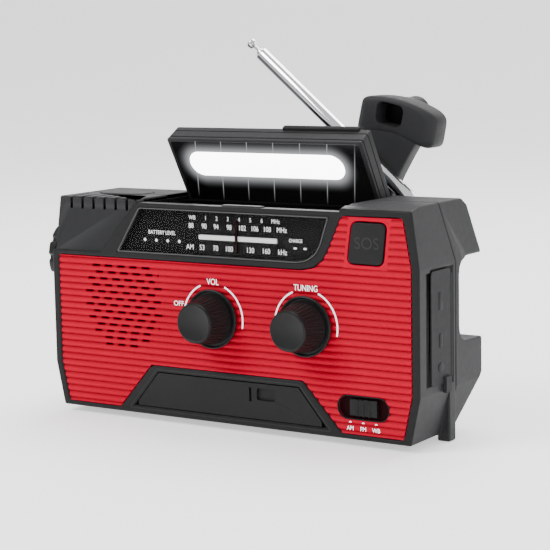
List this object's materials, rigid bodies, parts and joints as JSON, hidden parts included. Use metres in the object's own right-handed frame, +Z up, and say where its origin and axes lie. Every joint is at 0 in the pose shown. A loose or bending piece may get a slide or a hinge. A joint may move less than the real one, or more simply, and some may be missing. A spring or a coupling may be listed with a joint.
{
  "type": "emergency radio",
  "caption": "Hand-crank emergency radio: red ribbed front, two knobs, dial, flip-up lamp lid with solar panel, end torch, telescopic antenna and folding rear crank.",
  "frame": {"origin": "middle of the underside: centre of the overall box in X and Y, on the plane the feet stand on", "axes": "+X to the right seen from the front, +Y from the front to the crank side, +Z up"},
  "size_m": [0.1656, 0.0838, 0.1422],
  "materials": {
    "charcoal_plastic": "fine satin moulded ABS, dark",
    "grey_plastic": "fine satin moulded ABS, dark grey",
    "red_plastic": "satin red ribbed ABS",
    "black_plastic": "semi-gloss black",
    "rubber": "matt rubber",
    "steel": "plain steel",
    "chrome": "polished chrome",
    "glass": "clear gloss acrylic",
    "white_plastic": "white, translucent",
    "board": "green solder mask",
    "brass": "machined brass",
    "copper": "copper lacquer",
    "solar": "dark solar cell under clear resin"
  },
  "bodies": {
    "casing": {"front_shell": "charcoal_plastic", "rear_shell": "grey_plastic", "front_panel": "red_plastic", "lid_tray": "black_plastic", "battery_box": "black_plastic", "contact_springs": "steel", "contact_plate": "steel", "rubber_foot_left": "rubber", "rubber_foot_right": "rubber", "case_screw_1": "steel", "case_screw_2": "steel", "case_screw_3": "steel", "case_screw_4": "steel", "dial_window": "glass", "dial_plate": "black_plastic", "dial_strip": "white_plastic", "volume_pot": "steel", "tuning_capacitor": "white_plastic", "band_switch": "black_plastic", "sos_switch": "black_plastic", "light_switch": "black_plastic", "main_board": "board", "speaker_frame": "steel", "speaker_cone": "black_plastic", "cell_pack": "white_plastic", "usb_a_socket": "steel", "usb_c_socket": "steel", "earphone_jack": "black_plastic", "torch_bezel": "black_plastic", "torch_lens": "glass", "torch_reflector": "chrome", "torch_lamp": "white_plastic", "antenna_base": "black_plastic", "antenna_pin": "steel", "step_axle": "steel", "generator": "copper"},
    "pointer": {"dial_pointer": "red_plastic"},
    "volume": {"volume_knob": "charcoal_plastic"},
    "tuning": {"tuning_knob": "charcoal_plastic"},
    "battery_door": {"battery_cover": "charcoal_plastic"},
    "flap": {"port_cover": "rubber"},
    "light_key": {"light_button": "grey_plastic"},
    "sos_key": {"sos_button": "charcoal_plastic"},
    "band_key": {"band_slider": "charcoal_plastic"},
    "lid": {"lid_shell": "grey_plastic", "lamp_panel": "black_plastic", "lamp_diffuser": "white_plastic", "lamp_board": "board", "solar_panel": "solar"},
    "antenna": {"antenna_tube": "chrome"},
    "antenna_second": {"antenna_section_2": "chrome"},
    "antenna_third": {"antenna_section_3": "chrome"},
    "antenna_last": {"antenna_rod": "chrome"},
    "crank": {"crank_hub": "charcoal_plastic", "crank_fold_pin": "steel", "drive_gear": "white_plastic"},
    "arm": {"crank_arm": "grey_plastic"},
    "grip": {"crank_knob": "charcoal_plastic"},
    "step": {"step_gear": "white_plastic"},
    "rotor": {"generator_pinion": "brass"}
  },
  "joints": [
    {"name": "lid_hinge", "type": "hinge", "parent": "casing", "child": "lid", "pos_m": [0.0067, 0.0075, 0.08025], "axis": [1, 0, 0], "range_deg": [-10, 60]},
    {"name": "antenna_tilt", "type": "hinge", "parent": "casing", "child": "antenna", "pos_m": [0.05625, 0.0163, 0.0805], "axis": [0, 1, 0], "range_deg": [-40.1, 49.9]},
    {"name": "antenna_slide_2", "type": "slide", "parent": "antenna", "child": "antenna_second", "axis": [-0.7649, 0, 0.6441], "range_m": [0, 0.072]},
    {"name": "antenna_slide_3", "type": "slide", "parent": "antenna_second", "child": "antenna_third", "axis": [-0.7649, 0, 0.6441], "range_m": [0, 0.072]},
    {"name": "antenna_slide_4", "type": "slide", "parent": "antenna_third", "child": "antenna_last", "axis": [-0.7649, 0, 0.6441], "range_m": [0, 0.072]},
    {"name": "crank_spin", "type": "hinge", "parent": "casing", "child": "crank", "pos_m": [0.03125, 0.0105, 0.049], "axis": [0, 1, 0], "continuous": true},
    {"name": "crank_fold", "type": "hinge", "parent": "crank", "child": "arm", "pos_m": [0.03125, 0.0235, 0.049], "axis": [-0.9781, 0, 0.2079], "range_deg": [0, 90]},
    {"name": "crank_knob_spin", "type": "hinge", "parent": "arm", "child": "grip", "pos_m": [0.04293, 0.0365, 0.11358], "axis": [0, 1, 0], "continuous": true},
    {"name": "step_gear_spin", "type": "hinge", "parent": "casing", "child": "step", "pos_m": [0.01115, -0.0075, 0.049], "axis": [0, 1, 0], "continuous": true},
    {"name": "generator_spin", "type": "hinge", "parent": "casing", "child": "rotor", "pos_m": [-0.00895, -0.0055, 0.049], "axis": [0, 1, 0], "continuous": true},
    {"name": "volume_turn", "type": "hinge", "parent": "casing", "child": "volume", "pos_m": [-0.00395, -0.0295, 0.0412], "axis": [0, 1, 0], "range_deg": [-40, 230]},
    {"name": "tuning_turn", "type": "hinge", "parent": "casing", "child": "tuning", "pos_m": [0.03585, -0.0295, 0.0414], "axis": [0, 1, 0], "range_deg": [-150, 150]},
    {"name": "pointer_slide", "type": "slide", "parent": "casing", "child": "pointer", "axis": [1, 0, 0], "range_m": [-0.0166, 0.0166]},
    {"name": "sos_press", "type": "slide", "parent": "casing", "child": "sos_key", "axis": [0, 1, 0], "range_m": [0, 0.0005], "stiffness_N_per_m": 1500},
    {"name": "light_press", "type": "slide", "parent": "casing", "child": "light_key", "axis": [0, 0, -1], "range_m": [0, 0.0012], "stiffness_N_per_m": 800},
    {"name": "band_slide", "type": "slide", "parent": "casing", "child": "band_key", "axis": [1, 0, 0], "range_m": [-0.003, 0.003]},
    {"name": "port_cover_hinge", "type": "hinge", "parent": "casing", "child": "flap", "pos_m": [0.0809, -0.0062, 0.0421], "axis": [0, 0, 1], "range_deg": [0, 100]},
    {"name": "battery_cover_hinge", "type": "hinge", "parent": "casing", "child": "battery_door", "pos_m": [0.00125, -0.0292, 0.0057], "axis": [1, 0, 0], "range_deg": [0, 90]}
  ],
  "couplings": [
    {"joint": "step_gear_spin", "follows": "crank_spin", "ratio": -3},
    {"joint": "generator_spin", "follows": "crank_spin", "ratio": 9},
    {"joint": "pointer_slide", "follows": "tuning_turn", "m_per_rad": 0.0063}
  ]
}
